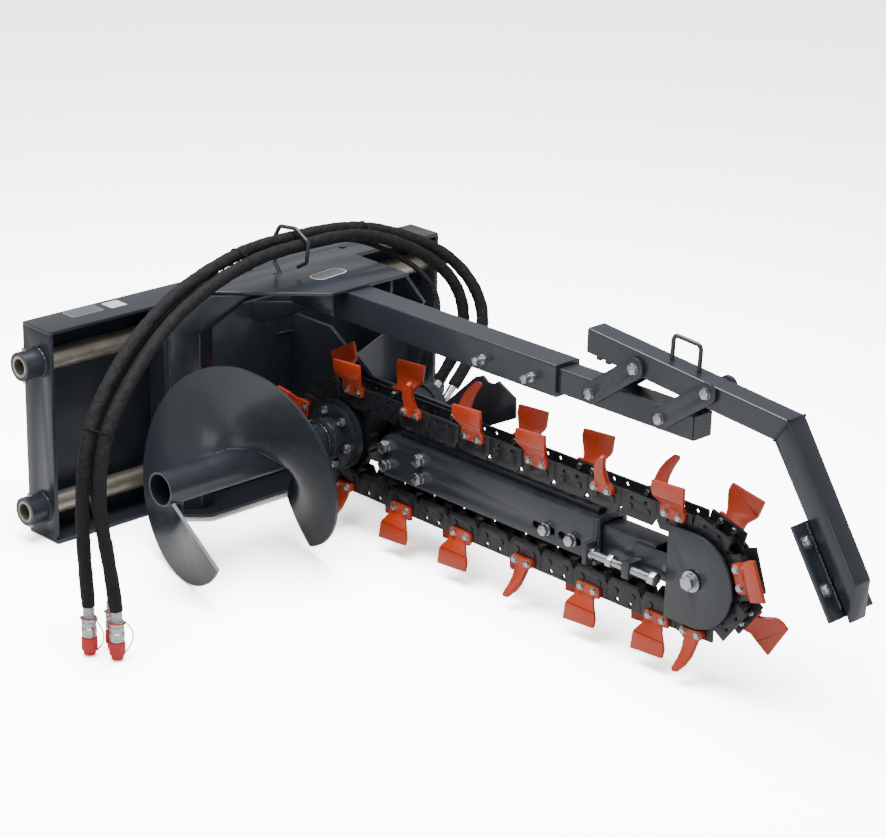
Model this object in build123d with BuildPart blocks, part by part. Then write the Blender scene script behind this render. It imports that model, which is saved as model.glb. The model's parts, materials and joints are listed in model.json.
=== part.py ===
"""Skid-steer chain trencher with side shift, spoil auger and crumber shoe.

Frame: X runs along the mounting frame, the boom points along -Y, +Z is up.
The origin lies on the underside of the mounting frame, on its front edge, at mid width.
"""
import math
import os

from build123d import *

os.makedirs("parts", exist_ok=True)

# ---------------------------------------------------------------- driving dimensions (mm)
frame_width = 1260.0
frame_depth = 109.0
frame_height = 536.0
sheet = 8.0                      # plate thickness of frame top, bottom and back
end_sheet = 10.0                 # thickness of the two frame end plates
window_left = -262.0             # opening in the back of the frame
window_right = 250.0
top_hole = (345.0, 66.0, 9.0)    # x, y and radius of the hole in the top plate

tube_diameter = 52.0             # slide tubes
tube_wall = 6.0
tube_y = 54.0
tube_low_z = 80.0
tube_high_z = frame_height - 88
collar_diameter = 70.0
collar_length = 52.0
slide_gap = 0.08                 # radial running fit of the carriage sleeves
air = 0.5                        # clearance between bodies that pass each other

boom_x = -14.0                   # centre plane of chain, bar and crumber
hub_y = -360.0
hub_z = 242.0
chain_pitch = 50.8
sprocket_teeth = 13
chain_pins = 58
outer_half = 29.0                # centre plane to the outer face of the outer link plates
link_sheet = 6.0
roller_diameter = 22.0
pin_diameter = 12.0
link_outward = 31.0
link_inward = 26.0
tooth_hole_radius = 5.0
tooth_hole_up = 19.5
tooth_hole_half = 20.0

bar_width = 86.0
bar_height = 100.0
bar_wall = 8.0
bar_head_y = -519.0
bar_end_y = -1229.0

auger_radius = 240.0
auger_tube = 83.0
auger_end_x = -594.0
auger_pitch = 348.0
auger_turns = 1.2
auger_sheet = 8.0

crumber_tube = 76.0
crumber_top_z = 612.0
crumber_wall = 8.0
crumber_start_y = -190.0
crumber_end_y = -1076.0
inner_tube = 58.0
inner_wall = 6.0
inner_end_y = -1466.0
link_rear_y = -1178.0
link_spacing = 202.0
link_back = 123.0                # how far the links lean forward
link_rise = 91.0
link_width = 48.0
bar_tilt = 5.6                   # fall of the crumber arm towards its bend, degrees
arm_square = 56.0

top_plate_z = crumber_top_z
hose_diameter = 32.0             # over the woven sleeve
drain_diameter = 14.0

pin_radius = chain_pitch / 2 / math.sin(math.pi / sprocket_teeth)
crumber_z = crumber_top_z - crumber_tube / 2


def save(builder, name):
    """Label a finished sub-part and write it next to the others."""
    builder.part.label = name
    export_step(builder.part, "parts/" + name + ".step")


def box_at(x0, x1, y0, y1, z0, z1, mode=Mode.ADD):
    """Box between two corners, in the builder that is open."""
    with Locations(((x0 + x1) / 2, (y0 + y1) / 2, (z0 + z1) / 2)):
        Box(abs(x1 - x0), abs(y1 - y0), abs(z1 - z0), mode=mode)


def rod_x(x0, x1, y, z, radius, mode=Mode.ADD):
    """Cylinder along X."""
    with Locations(Location(((x0 + x1) / 2, y, z), (0, 90, 0))):
        Cylinder(radius, abs(x1 - x0), mode=mode)


def rod_y(x, y0, y1, z, radius, mode=Mode.ADD):
    """Cylinder along Y."""
    with Locations(Location((x, (y0 + y1) / 2, z), (90, 0, 0))):
        Cylinder(radius, abs(y1 - y0), mode=mode)


def rod_z(x, y, z0, z1, radius, mode=Mode.ADD):
    """Cylinder along Z."""
    with Locations((x, y, (z0 + z1) / 2)):
        Cylinder(radius, abs(z1 - z0), mode=mode)


def plate_yz(x0, x1, points, mode=Mode.ADD):
    """Plate in the YZ plane between two X positions from its outline."""
    with BuildSketch(Plane.YZ.offset(x0)) as outline:
        with BuildLine():
            Polyline(*points, close=True)
        make_face()
    extrude(outline.sketch, amount=x1 - x0, mode=mode)


def hexagon_x(x0, x1, y, z, across):
    """Hexagonal head or nut along X."""
    with BuildSketch(Plane.YZ.offset(x0)) as outline:
        with Locations((y, z)):
            RegularPolygon(across / 2, 6, major_radius=False)
    extrude(outline.sketch, amount=x1 - x0)


# ---------------------------------------------------------------- mounting frame
half_width = frame_width / 2
with BuildPart() as frame_top:
    box_at(-half_width, half_width, 0, frame_depth, frame_height - sheet, frame_height)
    rod_z(top_hole[0], top_hole[1], frame_height - sheet, frame_height, top_hole[2], Mode.SUBTRACT)
    fillet(frame_top.edges().filter_by(Axis.Z).sort_by(Axis.Y)[:2], 6)
save(frame_top, "frame_top_plate")

with BuildPart() as frame_bottom:
    box_at(-half_width, half_width, -6, frame_depth, 0, sheet)
save(frame_bottom, "frame_bottom_plate")

with BuildPart() as end_plates:
    for side in (-1, 1):
        inner = side * (half_width - end_sheet)
        plate_yz(inner, side * half_width,
                 [(2, sheet), (frame_depth, sheet), (frame_depth, frame_height - sheet),
                  (2, frame_height - sheet)])
        for z in (tube_low_z, tube_high_z):
            rod_x(inner, side * half_width, tube_y, z, tube_diameter / 2, Mode.SUBTRACT)
save(end_plates, "frame_end_plates")

# The back is the quick-attach plate: a window, a hook flange on top and a slotted lip below.
back_inner = frame_depth - sheet
hook_half = 560.0
with BuildPart() as back_plate:
    box_at(-half_width + end_sheet, half_width - end_sheet, back_inner, frame_depth,
           sheet, frame_height - sheet)
    box_at(window_left, window_right, back_inner, frame_depth, 70, tube_high_z + 8, Mode.SUBTRACT)
    plate_yz(-hook_half, hook_half,
             [(frame_depth, frame_height - 36), (frame_depth, frame_height - 48),
              (frame_depth + 34, frame_height - 82), (frame_depth + 43, frame_height - 82),
              (frame_depth + 43, frame_height - 78)])
    plate_yz(-hook_half, hook_half,
             [(frame_depth, 62), (frame_depth, 50), (frame_depth + 56, 14), (frame_depth + 60, 24)])
    for x in (-420, 420):
        box_at(x - 34, x + 34, frame_depth + 18, frame_depth + 40, 0, 80, Mode.SUBTRACT)
save(back_plate, "frame_back_plate")

with BuildPart() as slide_tubes:
    reach = half_width + collar_length
    for z in (tube_low_z, tube_high_z):
        rod_x(-reach, reach, tube_y, z, tube_diameter / 2)
        rod_x(-reach, reach, tube_y, z, tube_diameter / 2 - tube_wall, Mode.SUBTRACT)
save(slide_tubes, "slide_tubes")

with BuildPart() as tube_collars:
    for side in (-1, 1):
        for z in (tube_low_z, tube_high_z):
            start = side * half_width
            stop = side * (half_width + collar_length)
            rod_x(start, stop, tube_y, z, collar_diameter / 2)
            rod_x(start, stop, tube_y, z, tube_diameter / 2, Mode.SUBTRACT)
            screw_x = side * (half_width + collar_length - 16)
            rod_z(screw_x, tube_y, z - collar_diameter, z + collar_diameter, 4, Mode.SUBTRACT)
save(tube_collars, "slide_tube_collars")

with BuildPart() as collar_screws:
    for side in (-1, 1):
        for z in (tube_low_z, tube_high_z):
            screw_x = side * (half_width + collar_length - 16)
            for up in (-1, 1):
                rod_z(screw_x, tube_y, z + up * (tube_diameter / 2 + 1),
                      z + up * (collar_diameter / 2 + 2), 4)
                with BuildSketch(Plane.XY.offset(z + up * (collar_diameter / 2 + 2))):
                    with Locations((screw_x, tube_y)):
                        RegularPolygon(7, 6)
                extrude(amount=up * 6)
save(collar_screws, "slide_collar_screws")

# ---------------------------------------------------------------- carriage on the slide tubes
wing_x = -320.0
right_x = 205.0
back_y0 = -40.0
back_y1 = -28.0
back_low = 20.0
back_high = frame_height - 36
plate_low_z = top_plate_z
plate_high_z = top_plate_z + 8
deck_left = -315.0
deck_rear_y = -198.0
deck_front_y = -397.0
deck_right = 150.0

with BuildPart() as deck:
    with BuildSketch(Plane.XY.offset(plate_low_z)):
        with BuildLine():
            Polyline((deck_left, deck_rear_y), (-105, deck_front_y), (deck_right - 6, deck_front_y),
                     (deck_right, deck_rear_y), close=True)
        make_face()
    extrude(amount=plate_high_z - plate_low_z)
save(deck, "carriage_top_plate")

with BuildPart() as back_wall:
    box_at(wing_x, right_x, back_y0, back_y1, back_low, back_high)
save(back_wall, "carriage_back_plate")

with BuildPart() as floor_plate:
    with BuildSketch(Plane.XY.offset(12)):
        with BuildLine():
            Polyline((wing_x + 2, back_y1), (right_x, back_y1), (right_x, -140), (-262, -140),
                     (wing_x + 2, -95), close=True)
        make_face()
    extrude(amount=back_low - 12)
save(floor_plate, "carriage_bottom_plate")

# The left wing is a folded strip: upright, then leaning forward under the top plate.
fold_z = frame_height - 53
lean_y = -150.0
wing_sheet = 10.0
wing_dir = Vector(58, -47, 0)
wing_points = [(back_y0, back_low), (back_y0, fold_z), (back_y0 + lean_y - 14, plate_low_z),
               (back_y0 + lean_y, plate_low_z), (back_y0 + wing_sheet, fold_z - 4),
               (back_y0 + wing_sheet, back_low)]
with BuildPart() as left_wing:
    with BuildSketch(Plane.YZ.offset(wing_x)):
        with BuildLine():
            Polyline(*[(y - wing_sheet, z) for y, z in wing_points], close=True)
        make_face()
    extrude(amount=wing_dir.length, dir=wing_dir)
    flange_shift = wing_dir.Y
    with BuildSketch(Plane.YZ.offset(wing_x + wing_dir.X)) as flange_outline:
        with BuildLine():
            Polyline(*[(y - wing_sheet + flange_shift, z) for y, z in wing_points], close=True)
        make_face()
    extrude(flange_outline.sketch, amount=40)
save(left_wing, "carriage_left_leg")

brace_z = frame_height - 2
with BuildPart() as right_leg:
    plate_yz(right_x - 10, right_x,
             [(back_y0, back_low), (back_y0, frame_height - 8), (deck_rear_y, brace_z),
              (deck_front_y, brace_z),
              (-110, 300), (-110, back_low)])
    with BuildSketch(Plane.XZ.offset(-deck_rear_y)) as brace_outline:
        with BuildLine():
            Polyline((deck_right - 6, plate_low_z), (deck_right - 18, plate_low_z),
                     (right_x - 10, brace_z), (right_x, brace_z), close=True)
        make_face()
    extrude(brace_outline.sketch, amount=deck_rear_y - deck_front_y)
save(right_leg, "carriage_right_leg")

tube_under = crumber_z - crumber_tube / 2
with BuildPart() as deck_gussets:
    for x in (-103, 86):
        plate_yz(x, x + 8, [(deck_front_y + 2, plate_low_z), (deck_front_y + 2, plate_low_z - 50),
                            (-345, plate_low_z - 50), (-240, plate_low_z)])
    for x in (boom_x - 38, boom_x + 30):
        plate_yz(x, x + 8, [(back_y0, back_high), (back_y0, tube_under - 80),
                            (-90, tube_under - 80), (-240, tube_under), (-190, tube_under)])
save(deck_gussets, "carriage_gussets")

web_list = (-283.0, 160.0)
with BuildPart() as saddle_webs:
    for x in web_list:
        box_at(x, x + 10, back_y1, tube_y + 20, 34, frame_height - 46)
        for z in (tube_low_z, tube_high_z):
            rod_x(x, x + 10, tube_y, z, 36, Mode.SUBTRACT)
save(saddle_webs, "carriage_saddle_webs")

with BuildPart() as sleeves:
    for x in web_list:
        for z in (tube_low_z, tube_high_z):
            rod_x(x - 35, x + 45, tube_y, z, 36)
            rod_x(x - 35, x + 45, tube_y, z, tube_diameter / 2 + slide_gap, Mode.SUBTRACT)
save(sleeves, "carriage_slide_sleeves")

# Drive plate: stands outside the far side of the chain and carries motor and bar.
drive_x0 = 84.0
drive_x1 = 96.0
motor_bore = 45.0
bar_bolts = [(-541, 265), (-543, 219), (-658, 265), (-658, 219)]
with BuildPart() as drive_plate:
    plate_yz(drive_x0, drive_x1,
             [(back_y0, 60), (back_y0, 440), (-180, 440), (-330, 350), (-640, 350), (-700, 318),
              (-700, 176), (-640, 150), (-300, 130), (-180, 60)])
    rod_x(drive_x0, drive_x1, hub_y, hub_z, motor_bore, Mode.SUBTRACT)
    for y, z in bar_bolts:
        rod_x(drive_x0, drive_x1, y, z, 10, Mode.SUBTRACT)
    plate_yz(drive_x1, drive_x1 + 6,
             [(-560, 330), (-680, 442), (-705, 452), (-722, 440), (-740, 440), (-756, 452),
              (-812, 425), (-815, 376), (-690, 312), (-640, 330)])
save(drive_plate, "drive_plate")

bar_near = boom_x - bar_width / 2
bar_far = boom_x + bar_width / 2
bar_low = hub_z - bar_height / 2
bar_high = hub_z + bar_height / 2
with BuildPart() as mount_block:
    box_at(bar_far, drive_x0, -700, -519, hub_z - 42, hub_z + 42)
    for y, z in bar_bolts:
        rod_x(bar_far, drive_x0, y, z, 10, Mode.SUBTRACT)
save(mount_block, "bar_mount_block")

# ---------------------------------------------------------------- motor, shaft, hub, auger
motor_x1 = 262.0
with BuildPart() as motor:
    rod_x(drive_x1, drive_x1 + 14, hub_y, hub_z, 66)
    rod_x(drive_x1 + 14, motor_x1 - 30, hub_y, hub_z, 54)
    rod_x(motor_x1 - 30, motor_x1, hub_y, hub_z, 60)
    rod_x(drive_x1, drive_x1 + 40, hub_y, hub_z, motor_bore, Mode.SUBTRACT)
    with BuildSketch(Plane.YZ.offset(drive_x1 + 14)):
        with Locations((hub_y, hub_z)):
            with PolarLocations(60, 4, 45):
                RegularPolygon(8, 6)
    extrude(amount=9)
save(motor, "hydraulic_motor")

port_ys = (hub_y - 26, hub_y + 26)
port_z = hub_z + 14
fitting_x = motor_x1 + 53         # the elbows end here, pointing up and outwards
fitting_z = port_z + 30
with BuildPart() as port_fittings:
    for y in port_ys:
        with BuildLine() as elbow_line:
            FilletPolyline((motor_x1, y, port_z), (fitting_x - 30, y, port_z),
                           (fitting_x, y, fitting_z), radius=14)
        with BuildSketch(Plane(origin=elbow_line.line @ 0, z_dir=(1, 0, 0))) as elbow_round:
            Circle(10)
        sweep(elbow_round.sketch, path=elbow_line.wires()[0])
        hexagon_x(motor_x1 + 2, motor_x1 + 14, y, port_z, 30)
    rod_z(200, hub_y, hub_z + 40, hub_z + 84, 7)
    add(motor.part, mode=Mode.SUBTRACT)
save(port_fittings, "motor_port_fittings")

shaft_radius = 30.0
sprocket_radius = pin_radius - roller_diameter / 2 - 1.5
with BuildPart() as sprocket:
    with BuildSketch(Plane.YZ.offset(boom_x - 14)):
        with Locations((hub_y, hub_z)):
            Circle(sprocket_radius)
            with PolarLocations(pin_radius - 3, sprocket_teeth):
                Circle(roller_diameter / 2 + 2, mode=Mode.SUBTRACT)
            Circle(shaft_radius, mode=Mode.SUBTRACT)
    extrude(amount=28)
save(sprocket, "drive_sprocket")

hub_face_x = -60.0
hub_step_x = -46.0
neck_face_x = -74.0
hub_bolt_circle = 65.0
with BuildPart() as hub_drum:
    rod_x(hub_face_x, drive_x1 + 38, hub_y, hub_z, shaft_radius)
    rod_x(hub_step_x, boom_x - 14, hub_y, hub_z, 66)
    rod_x(hub_face_x, hub_step_x, hub_y, hub_z, 88)
save(hub_drum, "drive_hub")

neck_end_x = -112.0
with BuildPart() as hub_neck:
    rod_x(neck_end_x, neck_face_x, hub_y, hub_z, 50)
    rod_x(neck_face_x, hub_face_x, hub_y, hub_z, 80)
    with Locations(Location((-100, hub_y, hub_z), (0, 90, 0))):
        Torus(50, 2.5, mode=Mode.ADD)
save(hub_neck, "auger_neck_flange")

with BuildPart() as hub_bolts:
    with BuildSketch(Plane.YZ.offset(neck_face_x)):
        with Locations((hub_y, hub_z)):
            with PolarLocations(hub_bolt_circle, 6, 12):
                RegularPolygon(11, 6)
    extrude(amount=-10)
save(hub_bolts, "hub_bolts")

with BuildPart() as auger_core:
    rod_x(auger_end_x, neck_end_x, hub_y, hub_z, auger_tube / 2)
    rod_x(auger_end_x, neck_end_x, hub_y, hub_z, auger_tube / 2 - 5, Mode.SUBTRACT)
save(auger_core, "auger_tube")


core_radius = auger_tube / 2
flight_height = auger_pitch * auger_turns
flight_angle = math.radians(125)            # start of the flight, from +Z towards -Y
with BuildPart() as flight_shape:
    with BuildLine() as helix_line:
        Helix(auger_pitch, flight_height, (core_radius + auger_radius) / 2 - 3)
    with BuildSketch(Plane(origin=helix_line.line @ 0, x_dir=(1, 0, 0),
                           z_dir=helix_line.line % 0)) as flight_profile:
        Rectangle(auger_radius - core_radius + 6, auger_sheet)
    sweep(flight_profile.sketch, path=helix_line.wires()[0], is_frenet=True)
    with Locations((0, 0, flight_height / 2)):
        Cylinder(core_radius, flight_height + 60, mode=Mode.SUBTRACT)
    last = math.radians(360 * auger_turns)
    corner = [(auger_radius + 30, last - 0.62), (auger_radius - 2, last - 0.62),
              (150, last + 0.05), (auger_radius + 60, last + 0.1)]
    with BuildSketch(Plane.XY.offset(flight_height - 90)) as trim:
        with BuildLine():
            Polyline(*[(r * math.cos(a), r * math.sin(a)) for r, a in corner], close=True)
        make_face()
    extrude(trim.sketch, amount=120, mode=Mode.SUBTRACT)

flight_frame = Plane(origin=(auger_end_x + 8, hub_y, hub_z),
                     x_dir=(0, -math.sin(flight_angle), math.cos(flight_angle)), z_dir=(1, 0, 0))
with BuildPart() as flight:
    with Locations(flight_frame.location):
        add(flight_shape.part)
save(flight, "auger_flight")


# ---------------------------------------------------------------- chain path
def path_point(s, centres):
    """Point (y, z) on the chain path: upper run to the hub, round it, back and round the nose."""
    nose_y = hub_y - centres
    arc = math.pi * pin_radius
    s = s % (2 * centres + 2 * arc)
    if s < centres:
        return nose_y + s, hub_z + pin_radius
    if s < centres + arc:
        a = (s - centres) / pin_radius
        return hub_y + pin_radius * math.sin(a), hub_z + pin_radius * math.cos(a)
    if s < 2 * centres + arc:
        return hub_y - (s - centres - arc), hub_z - pin_radius
    a = (s - 2 * centres - arc) / pin_radius
    return nose_y - pin_radius * math.sin(a), hub_z - pin_radius * math.cos(a)


def march(centres, start):
    """Pins spaced one pitch apart along the path, and the length left over."""
    places = [start]
    for _ in range(chain_pins):
        low, high = places[-1] + chain_pitch * 0.9, places[-1] + chain_pitch * 1.1
        y0, z0 = path_point(places[-1], centres)
        for _ in range(50):
            middle = (low + high) / 2
            y1, z1 = path_point(middle, centres)
            if math.hypot(y1 - y0, z1 - z0) < chain_pitch:
                low = middle
            else:
                high = middle
        places.append((low + high) / 2)
    total = 2 * centres + 2 * math.pi * pin_radius
    return places, places[-1] - start - total


first_pin_y = -641.4             # where the chain starts on its upper run
low_c, high_c = 1050.0, 1250.0
for _ in range(60):
    centre_distance = (low_c + high_c) / 2
    start_s = first_pin_y - (hub_y - centre_distance)
    pin_places, gap = march(centre_distance, start_s)
    if gap > 0:
        low_c = centre_distance
    else:
        high_c = centre_distance
nose_y = hub_y - centre_distance
pins_yz = [path_point(s, centre_distance) for s in pin_places[:chain_pins]]
print("centre distance", round(centre_distance, 2), "nose y", round(nose_y, 2))


def link_location(index, x=0.0):
    """Frame of the link from one pin to the next: local Y along the chain, local Z outwards."""
    y0, z0 = pins_yz[index % chain_pins]
    y1, z1 = pins_yz[(index + 1) % chain_pins]
    angle = math.degrees(math.atan2(z1 - z0, y1 - y0))
    return Location((x, (y0 + y1) / 2, (z0 + z1) / 2), (angle, 0, 0))


outer_links = [2 * k for k in range(chain_pins // 2)]
inner_links = [2 * k + 1 for k in range(chain_pins // 2)]
half_pitch = chain_pitch / 2

with BuildPart() as outer_shape:
    edge = chain_pitch - 0.4
    plate_yz(0, link_sheet,
             [(-edge, link_outward), (edge, link_outward), (edge, -7),
              (edge - 11, -link_inward), (-edge + 11, -link_inward), (-edge, -7)])
    for y in (-half_pitch, half_pitch):
        rod_x(0, link_sheet, y, 0, pin_diameter / 2, Mode.SUBTRACT)
    for y in (-tooth_hole_half, tooth_hole_half):
        rod_x(0, link_sheet, y, tooth_hole_up, tooth_hole_radius, Mode.SUBTRACT)

with BuildPart() as inner_shape:
    with BuildSketch(Plane.YZ):
        SlotCenterToCenter(chain_pitch, 22)
        with Locations((-half_pitch, 0), (half_pitch, 0)):
            Circle(pin_diameter / 2, mode=Mode.SUBTRACT)
    extrude(amount=link_sheet)

plate_gap = 0.3
near_outer_x = boom_x - outer_half
far_outer_x = boom_x + outer_half - link_sheet
near_inner_x = near_outer_x + link_sheet + plate_gap
far_inner_x = far_outer_x - link_sheet - plate_gap
with BuildPart() as outer_plates:
    with Locations(*[link_location(i, x) for i in outer_links for x in (near_outer_x, far_outer_x)]):
        add(outer_shape.part)
save(outer_plates, "chain_outer_plates")
with BuildPart() as inner_plates:
    with Locations(*[link_location(i, x) for i in inner_links for x in (near_inner_x, far_inner_x)]):
        add(inner_shape.part)
save(inner_plates, "chain_inner_plates")

roller_x0 = near_inner_x + link_sheet
with BuildPart() as chain_rollers:
    for y, z in pins_yz:
        rod_x(roller_x0, far_inner_x, y, z, roller_diameter / 2)
        rod_x(roller_x0, far_inner_x, y, z, pin_diameter / 2, Mode.SUBTRACT)
save(chain_rollers, "chain_rollers")

with BuildPart() as chain_pins_part:
    for y, z in pins_yz:
        rod_x(near_outer_x, boom_x + outer_half, y, z, pin_diameter / 2)
        rod_x(near_outer_x - 2, near_outer_x, y, z, 7.5)
        rod_x(boom_x + outer_half, boom_x + outer_half + 2, y, z, 7.5)
save(chain_pins_part, "chain_pins")

# ---------------------------------------------------------------- digging teeth
tooth_sheet = 8.0
claw_sheet = 12.0
foot_top = 34.0
cup_lean = 36.0                  # lean of the cup's web, degrees
cup_web = 36.0
cup_tip_lean = 6.0
cup_lip = 32.0
claw_lean = 22.0


def cutter(side):
    """Cup cutter in its own link frame: bolted foot, a web leaning outwards and an upright lip."""
    foot = side * tooth_sheet
    plate_yz(0, foot, [(-30, 9), (30, 9), (34, 16), (34, 34), (-34, 34), (-34, 16)])
    panels = ((cup_lean, 0, foot_top, [(-34, -2), (16, -2), (25, 16), (40, cup_web), (-46, cup_web),
                                       (-34, 14)]),
              (cup_tip_lean, side * cup_web * math.sin(math.radians(cup_lean)),
               foot_top + cup_web * math.cos(math.radians(cup_lean)),
               [(-46, -2), (40, -2), (44, 14), (42, cup_lip), (-48, cup_lip + 6)]))
    for lean, out, rise, corners in panels:
        angle = math.radians(lean)
        face = Plane(origin=(out, 0, rise), x_dir=(0, 1, 0),
                     z_dir=(math.cos(angle), 0, -side * math.sin(angle)))
        with BuildSketch(face) as outline:
            with BuildLine():
                Polyline(*corners, close=True)
            make_face()
        extrude(outline.sketch, amount=foot)
    for y in (-tooth_hole_half, tooth_hole_half):
        rod_x(-20, 20, y, tooth_hole_up, tooth_hole_radius, Mode.SUBTRACT)


def claw(side):
    """Narrow claw in its own link frame: two ears and a curved tip that leans outwards."""
    foot = side * claw_sheet
    plate_yz(0, foot, [(-26, 9), (-31, 15), (-31, 26), (-18, foot_top + 2), (18, foot_top + 2),
                       (31, 26), (31, 15), (26, 9), (10, 11), (-10, 11)])
    angle = math.radians(claw_lean)
    face = Plane(origin=(0, 0, foot_top), x_dir=(0, 1, 0),
                 z_dir=(math.cos(angle), 0, -side * math.sin(angle)))
    with BuildSketch(face) as outline:
        with BuildLine():
            Polyline((-18, -3), (18, -3), (15, 20), (11, 40), (0, 62), (-16, 80))
            ThreePointArc((-16, 80), (-24, 82), (-28, 74))
            Polyline((-28, 74), (-20, 52), (-16, 30), (-18, -3))
        make_face()
    extrude(outline.sketch, amount=foot)
    for y in (-tooth_hole_half, tooth_hole_half):
        rod_x(-20, 20, y, tooth_hole_up, tooth_hole_radius, Mode.SUBTRACT)


near_kinds = {2: "cup", 0: "claw", 27: "cup", 25: "cup", 23: "claw", 21: "cup", 19: "cup",
              17: "claw", 16: "cup", 14: "cup", 12: "claw", 10: "cup", 8: "cup", 6: "claw",
              4: "cup"}
far_kinds = {1: "cup", 28: "claw", 26: "cup", 24: "cup", 22: "claw", 20: "cup", 18: "cup",
             3: "cup", 5: "claw", 7: "cup", 9: "cup", 11: "claw", 13: "cup", 15: "cup"}
near_face = near_outer_x
far_face = boom_x + outer_half
flanks = ((-1, near_face, near_kinds), (1, far_face, far_kinds))
for kind, draw in (("cup", cutter), ("claw", claw)):
    with BuildPart() as near_shape:
        draw(-1)
    with BuildPart() as far_shape:
        draw(1)
    with BuildPart() as teeth:
        for shape, (side, face, kinds) in zip((near_shape, far_shape), flanks):
            with Locations(*[link_location(2 * k, face) for k in kinds if kinds[k] == kind]):
                add(shape.part)
    save(teeth, kind + "_teeth")

with BuildPart() as tooth_bolts:
    for side, face, kinds in flanks:
        for kind, height in (("cup", tooth_sheet), ("claw", claw_sheet)):
            with BuildPart(mode=Mode.PRIVATE) as bolt_pair:
                for y in (-tooth_hole_half, tooth_hole_half):
                    start = side * height
                    nut = -side * link_sheet
                    rod_x(start, nut - side, y, tooth_hole_up, tooth_hole_radius)
                    hexagon_x(start, start + side * 6.5, y, tooth_hole_up, 14)
                    hexagon_x(nut, nut - side * 6, y, tooth_hole_up, 14)
            with Locations(*[link_location(2 * k, face) for k in kinds if kinds[k] == kind]):
                add(bolt_pair.part)
save(tooth_bolts, "tooth_bolts")

# ---------------------------------------------------------------- bar, tensioner and nose
clamp_ys = (-1070.0, -1150.0)
screw_z = 222.0                  # height of the clamp bolts and of the tension screw
with BuildPart() as digging_bar:
    box_at(bar_near, bar_far, bar_end_y, bar_head_y, bar_low, bar_high)
    head = digging_bar.edges().filter_by(Axis.X).group_by(Axis.Y)[-1]
    chamfer(head, 20)
    box_at(bar_near + bar_wall, bar_far - bar_wall, bar_end_y, bar_head_y - 200,
           bar_low + bar_wall, bar_high - bar_wall, Mode.SUBTRACT)
    for y, z in bar_bolts:
        rod_x(bar_near, bar_far, y, z, 10, Mode.SUBTRACT)
    for y in clamp_ys:
        with BuildSketch(Plane.YZ.offset(bar_near)) as slot:
            with Locations((y + 8, screw_z)):
                SlotOverall(70, 18)
        extrude(slot.sketch, amount=bar_width, mode=Mode.SUBTRACT)
save(digging_bar, "digging_bar")

with BuildPart() as bar_rim:
    box_at(bar_near - 6, bar_near, bar_end_y, bar_end_y + 12, bar_low - 6, bar_high + 6)
    box_at(bar_near - 40, bar_near - 6, bar_end_y, bar_end_y + 12, 198, 248)
    box_at(bar_far, bar_far + 6, bar_end_y, bar_end_y + 12, bar_low - 6, bar_high + 6)
    box_at(bar_near, bar_far, bar_end_y, bar_end_y + 12, bar_high, bar_high + 6)
    box_at(bar_near, bar_far, bar_end_y, bar_end_y + 12, bar_low - 6, bar_low)
    box_at(boom_x - 14, boom_x + 14, -1200, -560, bar_high, bar_high + 14)
    box_at(boom_x - 14, boom_x + 14, -1200, -560, bar_low - 14, bar_low)
save(bar_rim, "bar_rim_and_guides")

with BuildPart() as bar_bolts_part:
    for y, z in bar_bolts:
        rod_x(bar_near, drive_x1, y, z, 10)
        rod_x(bar_near - 5, bar_near, y, z, 16)
        hexagon_x(bar_near - 5, bar_near - 17, y, z, 28)
        rod_x(drive_x1, drive_x1 + 14, y, z, 9)
        hexagon_x(drive_x1, drive_x1 + 12, y, z, 28)
save(bar_bolts_part, "bar_mount_bolts")

ext_half = bar_width / 2 - bar_wall - 4
ext_tall = bar_height / 2 - bar_wall - 4
ext_end_y = -1384.0
arm_sheet = 8.0
with BuildPart() as extension:
    box_at(boom_x - ext_half, boom_x + ext_half, ext_end_y, -1010, hub_z - ext_tall, hub_z + ext_tall)
    box_at(boom_x - ext_half + 8, boom_x + ext_half - 8, ext_end_y, -1010,
           hub_z - ext_tall + 8, hub_z + ext_tall - 8, Mode.SUBTRACT)
    for y in clamp_ys:
        rod_x(boom_x - ext_half, boom_x + ext_half, y, screw_z, 7, Mode.SUBTRACT)
save(extension, "nose_extension")

with BuildPart() as clamp_bolts:
    for y in clamp_ys:
        rod_x(bar_near - 4, boom_x + ext_half + 14, y, screw_z, 7)
        rod_x(bar_near - 6, bar_near - 0.4, y, screw_z, 15)
        hexagon_x(bar_near - 6, bar_near - 17, y, screw_z, 24)
save(clamp_bolts, "extension_clamp_bolts")

arm_rise = 32.0
screw_x = boom_x - ext_half - arm_sheet - 26
with BuildPart() as fork_arms:
    for side in (-1, 1):
        start = boom_x + side * ext_half
        stop = boom_x + side * (ext_half + arm_sheet)
        plate_yz(start, stop, [(-1330, hub_z - arm_rise), (-1330, hub_z + arm_rise),
                               (nose_y - 10, hub_z + arm_rise), (nose_y - 26, hub_z + 16),
                               (nose_y - 26, hub_z - 16), (nose_y - 10, hub_z - arm_rise)])
        rod_x(start, stop, nose_y, hub_z, 16, Mode.SUBTRACT)
    box_at(boom_x - ext_half - arm_sheet, screw_x - 16, -1352, -1332, screw_z - 19, screw_z + 19)
    rod_y(screw_x, -1352, -1332, screw_z, 10.06, Mode.SUBTRACT)
save(fork_arms, "nose_fork_arms")

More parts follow.
